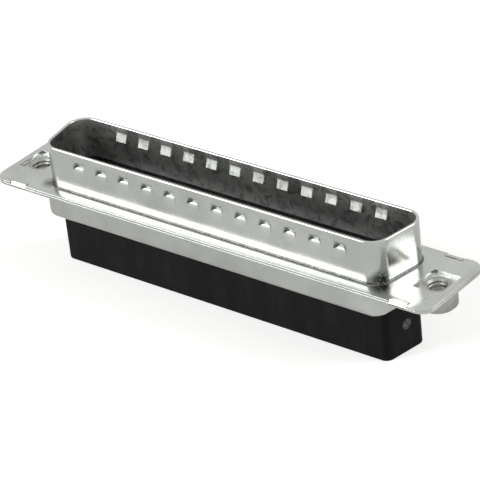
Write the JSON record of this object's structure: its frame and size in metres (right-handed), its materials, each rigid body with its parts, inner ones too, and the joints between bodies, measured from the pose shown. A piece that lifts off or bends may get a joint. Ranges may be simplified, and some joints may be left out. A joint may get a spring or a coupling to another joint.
{
  "type": "d-sub plug connector housing",
  "caption": "Two-row D-shaped plug housing for crimp contacts: plated steel shells, black insulating block and a threaded insert in each ear.",
  "frame": {"origin": "centre of the flange's front face, in the middle of the mating opening", "axes": "+X along the connector, +Y towards the long side of the D, +Z out of the mating face; it stands on the rear end of the insulating block"},
  "size_m": [0.0694, 0.0126, 0.0174],
  "materials": {
    "plated_sheet": "bright tin plate, lightly scuffed",
    "black_moulding": "matt black glass-filled moulding",
    "plated_insert": "satin plating"
  },
  "bodies": {
    "root": {"front_shell": "plated_sheet", "rear_shell": "plated_sheet", "front_insulator": "black_moulding", "rear_insulator": "black_moulding", "threaded_insert_left": "plated_insert", "threaded_insert_right": "plated_insert"}
  },
  "joints": []
}
